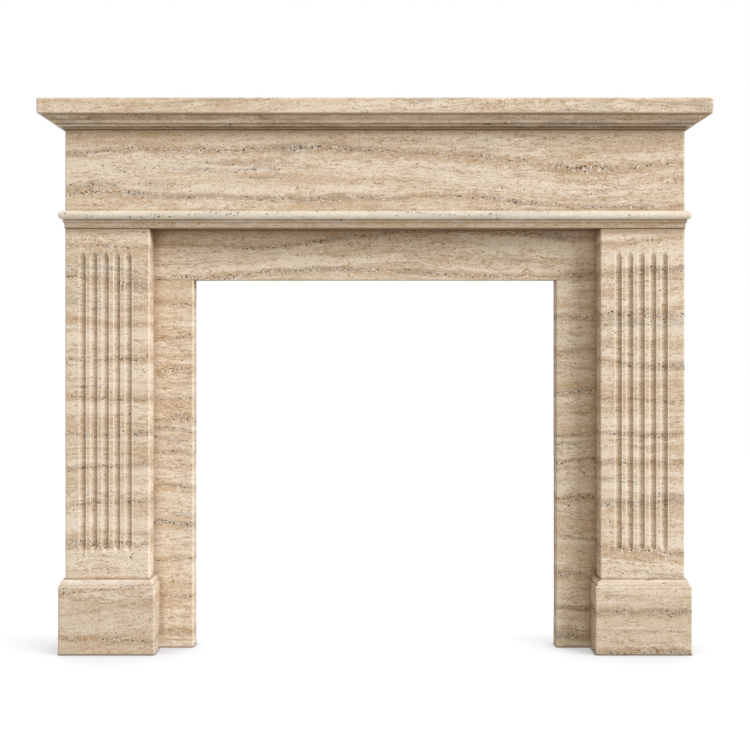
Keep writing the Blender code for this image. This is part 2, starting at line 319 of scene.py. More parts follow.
def travertine(name, origin, grime=(), hollow_shade=HOLLOW_SHADE, highlight_band=None, openness=1.0):
    """Honed travertine: wavy beds from cream to tan, brown veins, grey lenses and seams of small pits.

    Painted shade darkens it where other surfaces are near and along its concave lines, and its dark bands
    darken it
    by height: painted shade under the mouldings and along the joints, and the plinths darker towards the
    bottom. A painted highlight pales its highlight band. Each band is given by the height where it begins,
    the height where it is full, and its full share. The three values for concave lines are the same, with
    bends in place of heights.
    Openness is how much of the pits along the beds the stone has.
    """
    material = bpy.data.materials.new(f"travertine_{name}")
    material.use_nodes = True
    tree = Tree(material.node_tree)
    shader = material.node_tree.nodes["Principled BSDF"]
    here = tree.add("ShaderNodeTexCoord").outputs["Object"]
    mapping = tree.add("ShaderNodeMapping", here, origin)
    place = bedded(tree, mapping.outputs[0])

    def blend(share, first, second):
        """First colour turned into the second by a share from 0 to 1."""
        mixer = tree.add("ShaderNodeMix", data_type="RGBA")
        for place_in, value in ((0, share), (6, first), (7, second)):
            value = (*value, 1.0) if isinstance(value, tuple) else value
            tree.feed(mixer.inputs[place_in], value)
        return mixer.outputs[2]

    def line(value, width, strength):
        """Thin line where a value passes through its middle."""
        off = tree.reckon("ABSOLUTE", tree.reckon("SUBTRACT", value, 0.5))
        return tree.between(off, width, 0.0, 0.0, strength)

    def product(*shares):
        """All the shares multiplied together."""
        result = shares[0]
        for share in shares[1:]:
            result = tree.reckon("MULTIPLY", result, share)
        return result

    bands = tree.noise(place, BANDS, detail=4.0, distortion=0.4)
    clouds = tree.noise(place, CLOUDS, detail=7.0, roughness=0.62, distortion=0.9)
    curls = tree.noise(place, CURLS, detail=4.0, roughness=0.68, distortion=2.2)
    seam = from_seam(tree, place)
    colour = blend(tree.between(bands, *BEIGE_BANDS), CREAM, BEIGE)
    colour = blend(tree.between(bands, *TAN_BANDS), colour, TAN)
    stained = product(tree.between(seam, *SEAM_STAIN), tree.between(clouds, *STAINED_CLOUDS))
    colour = blend(stained, colour, TAN)
    colour = blend(tree.between(clouds, *TAN_CLOUDS), colour, TAN)
    colour = blend(tree.between(clouds, *CHALK_CLOUDS), colour, CHALK)
    colour = blend(tree.between(curls, *TAN_CURLS), colour, TAN)
    colour = blend(tree.between(curls, *CHALK_CURLS), colour, CHALK)

    broken = tree.between(curls, *BROKEN_LINES)
    veined = tree.between(tree.noise(place, VEINED_BEDS, detail=3.0), *VEINED)
    veins = tree.noise(place, VEINS, detail=5.0, roughness=0.6, distortion=1.2)
    pale = tree.noise(place, PALE_LINES, detail=4.0, roughness=0.6, distortion=1.4)
    colour = blend(product(line(pale, *PALE_LINE), tree.between(clouds, *PALE_LINED_CLOUDS)), colour, CHALK)
    colour = blend(product(line(veins, *VEIN), veined, broken), colour, BROWN)
    colour = blend(product(line(bands, *BAND_LINE), broken), colour, BROWN)
    colour = blend(product(tree.between(seam, *SEAM_CORE), broken), colour, BROWN)

    lens = tree.noise(place, GREY_LENSES, detail=5.0, roughness=0.6, distortion=0.9)
    lens = tree.between(lens, *LENSES)
    grey_bed = tree.between(tree.noise(place, GREY_BEDS, detail=2.0), *LENS_BEDS)
    grey = product(lens, grey_bed, tree.between(clouds, *LENS_CLOUDS))
    beside = product(tree.between(seam, *SEAM_GREY), tree.between(clouds, *SEAM_GREY_CLOUDS))
    beside = product(beside, tree.between(tree.noise(place, GREY_SEAMS, detail=3.0), *SEAM_GREY_REACH))
    grey = tree.reckon("MAXIMUM", grey, beside)
    colour = blend(grey, colour, GREY)

    flecks = tree.noise(place, FLECKS, detail=2.0, roughness=0.5, distortion=0.8)
    colour = blend(tree.between(flecks, *GOLDEN_FLECKS), colour, GOLD)

    open_bed = product(tree.reckon("MAXIMUM", porous(tree, place), grey), openness)
    ragged = tree.reckon("MULTIPLY", tree.reckon("SUBTRACT", curls, 0.5), RAGGED)

    def holes(density, stray, crowd):
        """Small open holes, crowded in the porous beds: how open each place is, and the pale rims."""
        cells = tree.add("ShaderNodeTexVoronoi")
        tree.feed(cells.inputs["Vector"], tree.vector("MULTIPLY", place, density))
        tree.feed(cells.inputs["Scale"], 1.0)
        luck, rimmed = tree.add("ShaderNodeSeparateColor", cells.outputs["Color"]).outputs[:2]
        chance = tree.reckon("ADD", stray, tree.reckon("MULTIPLY", open_bed, crowd))
        there = tree.reckon("LESS_THAN", luck, chance)
        far = tree.reckon("ADD", cells.outputs["Distance"], ragged)
        rimmed = tree.reckon("GREATER_THAN", rimmed, UNRIMMED)
        rim = product(tree.between(far, *HOLE_RIM), there, rimmed)
        return tree.reckon("MULTIPLY", tree.between(far, *HOLE_OPENING), there), rim

    large, large_rim = holes(LARGE_HOLES, *LARGE_SHARE)
    small, small_rim = holes(SMALL_HOLES, *SMALL_SHARE)
    colour = blend(tree.reckon("MAXIMUM", large_rim, small_rim), colour, PALEST)

    curve = tree.add("ShaderNodeAttribute", attribute_name="curve").outputs["Fac"]
    # Painted highlights on convex bends and arrises.
    colour = blend(tree.between(curve, *BEND_HIGHLIGHT), colour, CHALK)
    colour = blend(tree.between(curve, *ARRIS_HIGHLIGHT), colour, PALEST)
    # Painted shade along concave lines.
    start, full, share = hollow_shade
    colour = blend(tree.between(curve, start, full, 0.0, share), colour, BROWN)
    height = tree.add("ShaderNodeSeparateXYZ", here).outputs[2]
    # Painted shade at the foot, where the stone meets the floor.
    colour = blend(tree.between(height, *FOOT_SHADE), colour, BROWN)
    # Bands darker by height: painted shade under the mouldings and along the joints, and the plinths darker
    # towards the bottom.
    for begin, full, share in grime:
        colour = blend(tree.between(height, begin, full, 0.0, share), colour, SHADE_TONE)
    # Painted shade: darker where other surfaces are near, found by ambient occlusion, less so near the
    # ground.
    shelter = tree.add("ShaderNodeAmbientOcclusion", samples=6)
    tree.feed(shelter.inputs["Distance"], SHELTER)
    occluded = tree.between(shelter.outputs["AO"], *OCCLUSION_SHADE)
    colour = blend(product(occluded, tree.between(height, *OCCLUSION_SHADE_HEIGHT)), colour, SHADE_TONE)
    # Painted highlight: a band paled by height, on tops that face the light.
    if highlight_band:
        start, full, share = highlight_band
        colour = blend(tree.between(height, start, full, 0.0, share), colour, PALEST)

    pit = tree.add("ShaderNodeAttribute", attribute_name="pit").outputs["Fac"]
    pit = tree.reckon("MULTIPLY", tree.reckon("ADD", pit, ragged), tree.between(pit, *PIT_REACH))
    colour = blend(tree.between(pit, *PIT_RIM), colour, CHALK)
    hole = tree.reckon("MAXIMUM", tree.reckon("MAXIMUM", large, small), tree.between(pit, *PIT_OPENING))
    colour = blend(tree.reckon("MULTIPLY", hole, HOLE_SHARE), colour, PIT_SHADE)
    tree.feed(shader.inputs["Base Color"], colour)
    shader.inputs["Specular IOR Level"].default_value = SPECULAR
    rough = tree.reckon("ADD", ROUGHNESS, tree.reckon("MULTIPLY", curls, CURL_ROUGHNESS))
    rough = tree.reckon("MAXIMUM", rough, tree.reckon("MULTIPLY", hole, HOLE_ROUGHNESS))
    tree.feed(shader.inputs["Roughness"], rough)
    relief = tree.reckon("SUBTRACT", tree.reckon("MULTIPLY", curls, CURL_RELIEF), hole)
    bump = tree.add("ShaderNodeBump")
    tree.feed(bump.inputs["Strength"], RELIEF_STRENGTH)
    tree.feed(bump.inputs["Distance"], RELIEF_DEPTH)
    tree.feed(bump.inputs["Height"], relief)
    eased = tree.add("ShaderNodeBevel", samples=4)
    tree.feed(eased.inputs["Radius"], SOFT_ARRIS)
    tree.feed(bump.inputs["Normal"], eased.outputs[0])
    tree.feed(shader.inputs["Normal"], bump.outputs[0])
    return material


def new_inputs(tree, sizes):
    """Names a geometry tree's inputs, each with its usual value."""
    tree.interface.new_socket("Geometry", in_out="INPUT", socket_type="NodeSocketGeometry")
    kinds = {float: "NodeSocketFloat", int: "NodeSocketInt", tuple: "NodeSocketVector"}
    for name, value in sizes.items():
        kind = "NodeSocketMaterial" if value is None else kinds[type(value)]
        socket = tree.interface.new_socket(name, in_out="INPUT", socket_type=kind)
        if value is not None:
            socket.default_value = value
    tree.interface.new_socket("Geometry", in_out="OUTPUT", socket_type="NodeSocketGeometry")


def finished(tree, geometry, material):
    """Ends a geometry tree with plain geometry that carries its material."""
    real = tree.add("GeometryNodeRealizeInstances", geometry).outputs[0]
    painted = tree.add("GeometryNodeSetMaterial", real, None, material).outputs[0]
    tree.add("NodeGroupOutput", painted)


def worked(stone, group, **values):
    """Runs a geometry tree over a stone and keeps the result as the stone's plain mesh."""
    modifier = stone.modifiers.new(group.name, "NODES")
    modifier.node_group = group
    for item in group.interface.items_tree:
        if item.in_out == "INPUT" and item.name in values:
            modifier[item.identifier] = values[item.name]
    graph = bpy.context.evaluated_depsgraph_get()
    mesh = bpy.data.meshes.new_from_object(stone.evaluated_get(graph), depsgraph=graph)
    stone.modifiers.remove(modifier)
    old = stone.data
    stone.data = mesh
    bpy.data.meshes.remove(old)


PORES = 11000.0  # pores per square metre of open bed
STRAY_PORES = 110.0  # pores per square metre elsewhere
PORE_RADIUS = 0.0028
PORE_DEPTH = 0.0024
PORE_SIZES = (0.45, 1.25)  # smallest and largest, as shares of the radius and depth


def pore_tree():
    """Geometry tree that sinks small open pores into a stone, close together along its porous beds."""
    group = bpy.data.node_groups.new("pores", "GeometryNodeTree")
    sizes = {"Origin": (0.0, 0.0, 0.0), "Pores per square metre": PORES, "Stray pores": STRAY_PORES}
    sizes |= {"Radius": PORE_RADIUS, "Depth": PORE_DEPTH, "Seed": 1, "Stone": None}
    new_inputs(group, sizes)
    tree = Tree(group)
    given = tree.add("NodeGroupInput").outputs
    position = tree.add("GeometryNodeInputPosition").outputs[0]
    place = bedded(tree, tree.vector("ADD", position, given["Origin"]))
    crowd = tree.reckon("MULTIPLY", porous(tree, place), given["Pores per square metre"])
    crowd = tree.reckon("ADD", crowd, given["Stray pores"])
    points = tree.add("GeometryNodeDistributePointsOnFaces", given["Geometry"])
    tree.feed(points.inputs["Density"], crowd)
    tree.feed(points.inputs["Seed"], given["Seed"])
    size = tree.add("FunctionNodeRandomValue", data_type="FLOAT")
    for name, value in (("Min", PORE_SIZES[0]), ("Max", PORE_SIZES[1]), ("Seed", given["Seed"])):
        socket = [s for s in size.inputs if s.name == name and s.enabled][0]
        tree.feed(socket, value)
    size_here = [s for s in size.outputs if s.enabled][0]
    sized = tree.add("GeometryNodeCaptureAttribute")
    sized.capture_items.new("FLOAT", "Size")
    tree.feed(sized.inputs["Geometry"], points.outputs["Points"])
    tree.feed(sized.inputs["Size"], size_here)
    nearest = tree.add("GeometryNodeSampleNearest", sized.outputs["Geometry"], domain="POINT").outputs[0]
    centre = tree.add("GeometryNodeSampleIndex", data_type="FLOAT_VECTOR", domain="POINT")
    reach = tree.add("GeometryNodeSampleIndex", data_type="FLOAT", domain="POINT")
    for sample, value in ((centre, position), (reach, sized.outputs["Size"])):
        tree.feed(sample.inputs["Geometry"], sized.outputs["Geometry"])
        tree.feed(sample.inputs["Value"], value)
        tree.feed(sample.inputs["Index"], nearest)
    gap = tree.add("ShaderNodeVectorMath", centre.outputs[0], position, operation="DISTANCE")
    radius = tree.reckon("MULTIPLY", reach.outputs[0], given["Radius"])
    pit = tree.between(gap.outputs["Value"], radius, 0.0)
    loose = tree.add("GeometryNodeInputNamedAttribute", "loose", data_type="FLOAT").outputs[0]
    pit = tree.reckon("MULTIPLY", pit, loose)
    depth = tree.reckon("MULTIPLY", tree.reckon("MULTIPLY", pit, given["Depth"]), reach.outputs[0])
    bent = tree.add("GeometryNodeStoreNamedAttribute", given["Geometry"], None, "curve", data_type="FLOAT")
    bend = tree.add("GeometryNodeInputMeshEdgeAngle").outputs["Signed Angle"]
    tree.feed(bent.inputs["Value"], tree.reckon("MULTIPLY", bend, loose))
    kept = tree.add("GeometryNodeStoreNamedAttribute", bent.outputs[0], None, "pit", data_type="FLOAT")
    tree.feed(kept.inputs["Value"], pit)
    normal = tree.add("GeometryNodeInputNormal").outputs[0]
    sink = tree.add("ShaderNodeVectorMath", normal, operation="SCALE")
    tree.feed(sink.inputs["Scale"], tree.reckon("MULTIPLY", depth, -1.0))
    moved = tree.add("GeometryNodeSetPosition", kept.outputs[0])
    tree.feed(moved.inputs["Offset"], sink.outputs[0])
    finished(tree, moved.outputs[0], given["Stone"])
    return group


pores = pore_tree()
JOINT_SHADE = 0.0024
JOINT_SHARE = 0.90


def joint_grime(top, reach, share):
    """Painted shadow along the top of a stone, under the stone above it: a soft band of the given reach,
    and the dark joint itself.
    """
    return [(top - reach, top, share), (top - JOINT_SHADE, top - JOINT, JOINT_SHARE)]


def band_from(level, begin, full, share):
    """Band whose two heights are given from a level, for painted shade and painted highlights."""
    return level + begin, level + full, share


def dressed(stone, node, origin, seed, material=None, openness=1.0, **painted_tones):
    """Opens the pores of a stone, gives it its travertine, and sets it in the place of its plain solid.

    The origin is where in the beds the stone was cut, in metres, so that each stone has its own veins.
    """
    # The remaining settings give the travertine its painted shade and highlight bands.
    material = material or travertine(node, origin, openness=openness, **painted_tones)
    crowd = {"Pores per square metre": PORES * openness}
    worked(stone, pores, Origin=origin, Seed=seed, Stone=material, **crowd)
    stone.data.shade_smooth()
    stone.data.set_sharp_from_angle(angle=radians(SHARPEST_ROUND))
    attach(stone, "root")
    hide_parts(node)


PLINTH_FILLET = 0.0012
PLINTH_FILLET_WIDTH = 0.0034
PLINTH_TOP_FILLET = 0.0006
PLINTH_LEDGE = 0.0044
PLINTH_OVOLO = 0.0112
PLINTH_EASING = 0.0020
FOOT_EASING = 0.0022
OVOLO_STEPS = 8
# The plinths are darker towards the bottom: height where it begins, height where it is full, and full share
PLINTH_DARKENING = (0.16, 0.09, 0.20)
PLINTH_HOLLOW_SHADE = (-0.20, -0.50, 0.05)
PLINTH_HIGHLIGHT = (-0.0045, -0.0025, 0.25)  # painted highlight on the ovolo and ledge: heights from the foot of the ovolo, and full share

plinth_low, plinth_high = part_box("right_plinth")
pilaster_low, pilaster_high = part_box("right_pilaster")
slip_low, slip_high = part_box("right_jamb_slip")
SLIP_FACE = slip_low.y - JOINT
SLIP_END = slip_high.x + JOINT
ovolo_low = plinth_high.z - PLINTH_TOP_FILLET - PLINTH_OVOLO


def plinth_profile():
    """Plinth from the ground up: plain block, set-in fillet, ovolo and ledge."""
    out = plinth_high.x - pilaster_high.x
    block_high = ovolo_low - PLINTH_FILLET
    size = (out - PLINTH_FILLET_WIDTH - PLINTH_LEDGE, PLINTH_OVOLO)
    ovolo = arc((PLINTH_LEDGE, ovolo_low), size, 0, pi / 2, OVOLO_STEPS)
    foot = arc((out - FOOT_EASING, FOOT_EASING), (FOOT_EASING, FOOT_EASING), -pi / 2, 0, ARC_STEPS)
    block = [*foot, (out, block_high), (out - PLINTH_FILLET_WIDTH, block_high)]
    return [*block, *ovolo, (PLINTH_LEDGE, plinth_high.z)]


def leg_plan(side, out, easing, face_marks=()):
    """Plan of a plinth or pilaster that stands out by a moulding, from its outer side to its rebate."""
    inner, outer = pilaster_low.x, pilaster_high.x
    corners = [(outer + out, WALL), (outer + out, FACE - out)]
    corners += [(x, FACE - out) for x in face_marks]
    corners += [(inner - out, FACE - out), (inner - out, SLIP_FACE)]
    corners += [(SLIP_END, SLIP_FACE), (SLIP_END, WALL)]
    face_widths = -np.diff([outer, *face_marks, inner])
    counts = [steps_over(width, FINE_GRAIN if i % 2 else GRAIN) for i, width in enumerate(face_widths)]
    counts = [steps_over(WALL - FACE), *counts, steps_over(SLIP_FACE - FACE), 1, 1]
    line = walk(corners, counts, {1, 2 + len(face_marks)}, easing)
    return [(side * x, y) for x, y in line]


def at_height(line, z):
    """A plan outline lifted to a height."""
    return [(x, y, z) for x, y in line]


for place, (name, side) in enumerate((("left_plinth", -1), ("right_plinth", 1))):
    rings = [at_height(leg_plan(side, out, PLINTH_EASING), z) for out, z in moulding(plinth_profile())]
    origin = (3.1 + 2.3 * place, 0.4, 0.7 + 1.9 * place)
    painted_tones = {"grime": [PLINTH_DARKENING], "hollow_shade": PLINTH_HOLLOW_SHADE, "highlight_band": band_from(ovolo_low, *PLINTH_HIGHLIGHT)}
    dressed(skin(name, rings), name, origin, 11 + place, **painted_tones)


# Pilasters. Two upright stones, each sawn from one block, with five flutes cut in the face by a round-nosed
# tool that rises to a point at both ends. They stand on the plinths, and the slips sit in their rebate.

FLUTES = 5
FLUTE_PITCH = 0.0237
FLUTE_WIDTH = 0.0140
FLUTE_DEPTH = 0.0056
FLUTE_POINT = 0.0150
FLUTE_FOOT_MARGIN = 0.0537
FLUTE_HEAD_MARGIN = 0.0466
LEFT_FLUTES_SHIFT = -0.0038
RIGHT_FLUTES_SHIFT = -0.0025
PILASTER_EASING = 0.0025
PILASTER_SHADOW = (0.020, 0.70)  # painted shadow under the necking: reach below the joint, and full share
FADE = 0.012  # how far beyond a flute's point the drawn-in mesh lines come back
PINCHED = 0.02  # how near together they are at the point, as a share of the flute's width
ON_FACE = 0.0001

flute_foot = pilaster_low.z + FLUTE_FOOT_MARGIN
flute_head = pilaster_high.z - FLUTE_HEAD_MARGIN


def flute_tree():
    """Geometry tree that cuts pointed flutes into a face and draws the mesh lines in along their edges."""
    group = bpy.data.node_groups.new("flutes", "GeometryNodeTree")
    sizes = {"Middle": 0.0, "Flutes": float(FLUTES), "Pitch": FLUTE_PITCH, "Width": FLUTE_WIDTH}
    sizes |= {"Depth": FLUTE_DEPTH, "Point": FLUTE_POINT, "Foot": flute_foot, "Head": flute_head}
    sizes |= {"Face": FACE, "Stone": None}
    new_inputs(group, sizes)
    tree = Tree(group)
    given = tree.add("NodeGroupInput").outputs
    x, y, z = tree.add("ShaderNodeSeparateXYZ", tree.add("GeometryNodeInputPosition").outputs[0]).outputs
    reckon = tree.reckon
    half = reckon("MULTIPLY", given["Width"], 0.5)
    half_pitch = reckon("MULTIPLY", given["Pitch"], 0.5)
    across = reckon("SUBTRACT", x, given["Middle"])
    last = reckon("MULTIPLY", reckon("SUBTRACT", given["Flutes"], 1.0), 0.5)
    number = reckon("ROUND", reckon("DIVIDE", across, given["Pitch"]))
    number = reckon("MINIMUM", reckon("MAXIMUM", number, reckon("MULTIPLY", last, -1.0)), last)
    off = reckon("SUBTRACT", across, reckon("MULTIPLY", number, given["Pitch"]))
    far = reckon("ABSOLUTE", off)
    below = reckon("SUBTRACT", reckon("ADD", given["Foot"], given["Point"]), z)
    above = reckon("SUBTRACT", z, reckon("SUBTRACT", given["Head"], given["Point"]))
    rise = reckon("MAXIMUM", reckon("MAXIMUM", below, above), 0.0)
    held = reckon("MINIMUM", rise, given["Point"])
    point_squared = reckon("MULTIPLY", given["Point"], given["Point"])
    half_squared = reckon("MULTIPLY", half, half)
    bow = reckon("DIVIDE", reckon("ADD", point_squared, half_squared), given["Width"])
    bow_here = reckon("SUBTRACT", reckon("MULTIPLY", bow, bow), reckon("MULTIPLY", held, held))
    open_half = reckon("SUBTRACT", reckon("SQRT", bow_here), reckon("SUBTRACT", bow, half))
    open_half = reckon("MAXIMUM", open_half, 0.0)
    back = reckon("DIVIDE", reckon("SUBTRACT", rise, given["Point"]), FADE)
    back = reckon("MINIMUM", reckon("MAXIMUM", back, PINCHED), 1.0)
    line_half = reckon("MAXIMUM", open_half, reckon("MULTIPLY", back, half))
    turn = reckon("MULTIPLY", reckon("DIVIDE", reckon("MINIMUM", far, half), half), pi / 2)
    inside = reckon("MULTIPLY", reckon("SINE", turn), line_half)
    spread = reckon("DIVIDE", reckon("SUBTRACT", far, half), reckon("SUBTRACT", half_pitch, half))
    spread = reckon("MINIMUM", reckon("MAXIMUM", spread, 0.0), 1.0)
    between = reckon("MULTIPLY", spread, reckon("SUBTRACT", half_pitch, line_half))
    beyond = reckon("MAXIMUM", reckon("SUBTRACT", far, half_pitch), 0.0)
    new_far = reckon("ADD", reckon("ADD", inside, between), beyond)
    shift = reckon("MULTIPLY", reckon("SIGN", off), reckon("SUBTRACT", new_far, far))
    depth_squared = reckon("MULTIPLY", given["Depth"], given["Depth"])
    nose = reckon("ADD", half_squared, depth_squared)
    nose = reckon("DIVIDE", nose, reckon("MULTIPLY", given["Depth"], 2.0))
    nose_squared = reckon("MULTIPLY", nose, nose)
    floor = reckon("SUBTRACT", nose_squared, reckon("MULTIPLY", new_far, new_far))
    floor = reckon("SQRT", reckon("MAXIMUM", floor, 0.0))
    lip = reckon("SQRT", reckon("SUBTRACT", nose_squared, reckon("MULTIPLY", open_half, open_half)))
    depth = reckon("MAXIMUM", reckon("SUBTRACT", floor, lip), 0.0)
    on_face = reckon("LESS_THAN", y, reckon("ADD", given["Face"], ON_FACE))
    offset = tree.add("ShaderNodeCombineXYZ", shift, depth, 0.0).outputs[0]
    cut = tree.add("GeometryNodeSetPosition", given["Geometry"])
    tree.feed(cut.inputs["Selection"], on_face)
    tree.feed(cut.inputs["Offset"], offset)
    finished(tree, cut.outputs[0], given["Stone"])
    return group


def flute_edges(middle):
    """Places of the flutes' edges across the right pilaster's face, from its outer side inwards."""
    first = (FLUTES - 1) / 2 * FLUTE_PITCH
    middles = [middle + first - FLUTE_PITCH * i for i in range(FLUTES)]
    return [x for middle in middles for x in (middle + FLUTE_WIDTH / 2, middle - FLUTE_WIDTH / 2)]


def pilaster_heights():
    """Levels up a pilaster, closer together where the flutes come to their points."""
    point = FLUTE_POINT + FADE
    stops = [pilaster_low.z, flute_foot - FADE, flute_foot + FLUTE_POINT]
    stops += [flute_head - FLUTE_POINT, flute_head + FADE, pilaster_high.z]
    levels = [stops[0]]
    for low, high in zip(stops, stops[1:]):
        count = steps_over(high - low, FINE_GRAIN if high - low <= point + JOINT else GRAIN)
        levels += list(np.linspace(low, high, count + 1)[1:])
    return levels


flutes = flute_tree()
kinds = (("left_pilaster", -1, LEFT_FLUTES_SHIFT), ("right_pilaster", 1, RIGHT_FLUTES_SHIFT))
for place, (name, side, shift) in enumerate(kinds):
    middle = side * (pilaster_low.x + pilaster_high.x) / 2 + shift
    plan = leg_plan(side, 0.0, PILASTER_EASING, flute_edges(side * middle))
    stone = skin(name, [at_height(plan, z) for z in pilaster_heights()])
    origin = (1.3 + 3.7 * place, 0.9, 0.15 + 2.6 * place)
    material = travertine(name, origin, joint_grime(pilaster_high.z, *PILASTER_SHADOW))
    worked(stone, flutes, Stone=material, Middle=middle)
    dressed(stone, name, origin, 21 + place, material)


# Jamb slips. Two plain flat slips of travertine that line the sides of the fire opening. They are held in
# the rebates behind the pilasters and plinths, and the arris along the opening is eased.

SLIP_EASING = 0.0030


def slip_plan(side):
    """Plan of a jamb slip: reveal, eased arris, face and the end in the rebate."""
    corners = [(slip_low.x, WALL), (slip_low.x, slip_low.y), (slip_high.x, slip_low.y), (slip_high.x, WALL)]
    counts = [steps_over(WALL - slip_low.y), steps_over(slip_high.x - slip_low.x), 1]
    return [(side * x, y) for x, y in walk(corners, counts, {1}, SLIP_EASING)]


def levels_over(low, high):
    """Equal steps from one height to another."""
    return np.linspace(low, high, steps_over(high - low) + 1)


for place, (name, side) in enumerate((("left_jamb_slip", -1), ("right_jamb_slip", 1))):
    rings = [at_height(slip_plan(side), z) for z in levels_over(slip_low.z, slip_high.z)]
    origin = (5.7 + 1.1 * place, 1.7, 1.25 + 0.8 * place)
    dressed(skin(name, rings), name, origin, 31 + place)


# Lintel slip. One plain flat stone across the top of the fire opening, resting on the jamb slips and held
# by its ends in the rebates behind the pilasters.

LINTEL_EASING = 0.0016
# Painted shadow under the necking: reach below the joint, and full share
LINTEL_SHADOW = (0.012, 0.15)
lintel_low, lintel_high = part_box("lintel_slip")


def across(section, low, high):
    """Rings of one upright section, in Y and Z, repeated in equal steps along X."""
    return [[(x, y, z) for y, z in section] for x in np.linspace(low, high, steps_over(high - low) + 1)]


corners = [(WALL, lintel_low.z), (lintel_low.y, lintel_low.z)]
corners += [(lintel_low.y, lintel_high.z), (WALL, lintel_high.z)]
counts = [steps_over(WALL - lintel_low.y), steps_over(lintel_high.z - lintel_low.z), 1]
section = walk(corners, counts, {1}, LINTEL_EASING)
stone = skin("lintel_slip", across(section, lintel_low.x, lintel_high.x))
grime = joint_grime(lintel_high.z, *LINTEL_SHADOW)
dressed(stone, "lintel_slip", origin=(7.9, 2.2, 0.35), seed=41, grime=grime)


# Necking moulding. One long travertine over pilasters and lintel slip, worked with an ovolo, a cavetto, a
# fillet, a quirk and a torus, and returned to the wall at both ends with mitred corners.

NECKING_FOOT = 0.0036
NECKING_FOOT_OUT = 0.0018
NECKING_FOOT_SETBACK = 0.0014
NECKING_CAVETTO = 0.0090
NECKING_CAVETTO_OUT = 0.0026
NECKING_FILLET = 0.0034
NECKING_FILLET_OUT = 0.0006
NECKING_QUIRK = 0.0014
NECKING_QUIRK_DEPTH = 0.0016
TORUS_CENTRE = 0.0025
TORUS_STEPS = 18
MITRE_EASING = 0.0010
QUIRK_SHADE = (0.0004, -0.0004, 0.38)  # painted shade below the torus: heights from the quirk, and full share
NECKING_FOOT_SHADE = (0.0017, 0.0009, 0.85)  # painted shade along the foot: heights from the foot, and full share
NECKING_HOLLOW_SHADE = (-0.05, -0.13, 0.25)
TORUS_HIGHLIGHT = 0.46
MOULDING_OPENNESS = 0.35
necking_low, necking_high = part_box("necking_moulding")


def necking_profile():
    """Necking from its foot up: small ovolo, cavetto, fillet, quirk and torus."""
    low, high = necking_low.z, necking_high.z
    foot_in = NECKING_FOOT_OUT - NECKING_FOOT_SETBACK
    hollow_low = low + NECKING_FOOT
    hollow_in = NECKING_FOOT_OUT - NECKING_FILLET_OUT
    hollow_out = hollow_in + NECKING_CAVETTO_OUT
    fillet_low = hollow_low + NECKING_CAVETTO
    fillet_out = hollow_out + NECKING_FILLET_OUT
    fillet_high = fillet_low + NECKING_FILLET
    quirk_in = fillet_out - NECKING_QUIRK_DEPTH
    torus_low = fillet_high + NECKING_QUIRK
    radius = (high - torus_low) / 2
    size = (NECKING_CAVETTO_OUT, NECKING_CAVETTO)
    foot_size = (NECKING_FOOT_SETBACK, NECKING_FOOT)
    points = arc((foot_in, hollow_low), foot_size, -pi / 2, 0, 4)
    points += arc((hollow_out, hollow_low), size, pi, pi / 2, 6)
    points += [(fillet_out, fillet_low), (fillet_out, fillet_high)]
    points += [(quirk_in, fillet_high), (quirk_in, torus_low)]
    points += arc((TORUS_CENTRE, torus_low + radius), (radius, radius), -pi / 2, pi / 2, TORUS_STEPS)
    return points + [(0.0, high)]


def long_plan(out, easing):
    """Plan of a long stone that stands out by a moulding: left end, front and right end."""
    corners = [(-HALF - out, WALL), (-HALF - out, FACE - out), (HALF + out, FACE - out), (HALF + out, WALL)]
    counts = [steps_over(WALL - FACE), steps_over(2 * HALF), steps_over(WALL - FACE)]
    return walk(corners, counts, {1, 2}, easing)


rings = [at_height(long_plan(out, MITRE_EASING), z) for out, z in moulding(necking_profile())]
quirk = necking_low.z + NECKING_FOOT + NECKING_CAVETTO + NECKING_FILLET
grime = [band_from(quirk, *QUIRK_SHADE), band_from(necking_low.z, *NECKING_FOOT_SHADE)]
# Painted highlight on the torus, which faces up into the light.
highlight_band = band_from(quirk, NECKING_QUIRK, 2 * NECKING_QUIRK, TORUS_HIGHLIGHT)
painted_tones = {"grime": grime, "hollow_shade": NECKING_HOLLOW_SHADE, "highlight_band": highlight_band, "openness": MOULDING_OPENNESS}
stone = skin("necking_moulding", rings)
dressed(stone, "necking_moulding", origin=(2.4, 3.3, 4.15), seed=51, **painted_tones)


# Frieze. One plain long block of honed travertine, which rests on the necking and carries the bed moulding.
# Its front upright arrises are eased, and a shadow is painted under the moulding.

FRIEZE_EASING = 0.0022
# Painted shadow under the bed moulding: reach below the joint, and full share
FRIEZE_SHADOW = (0.022, 0.42)
frieze_low, frieze_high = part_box("frieze")

rings = [at_height(long_plan(0.0, FRIEZE_EASING), z) for z in levels_over(frieze_low.z, frieze_high.z)]
grime = joint_grime(frieze_high.z, *FRIEZE_SHADOW)
dressed(skin("frieze", rings), "frieze", origin=(4.05, 0.2, 2.42), seed=61, grime=grime)


# Bed moulding. One long stone under the shelf, worked from the frieze out with a bead, a cavetto, a fillet,
# a quirk and a cyma, and returned to the wall at both ends.

BED_BEAD = 0.0042
BED_BEAD_OUT = 0.0052
BED_CAVETTO = 0.0019
BED_FILLET = 0.0022
BED_FILLET_OUT = 0.0108
BED_QUIRK = 0.0012
BED_QUIRK_DEPTH = 0.0022
BED_CYMA_OUT = 0.0175
BED_TOP_FILLET = 0.0022
# Painted shade under the bead: heights from the foot, and full share
BED_SHADE = (0.0022, 0.0010, 0.85)
BED_HOLLOW_SHADE = (-0.20, -0.50, 0.30)
bed_low, bed_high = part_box("bed_moulding")


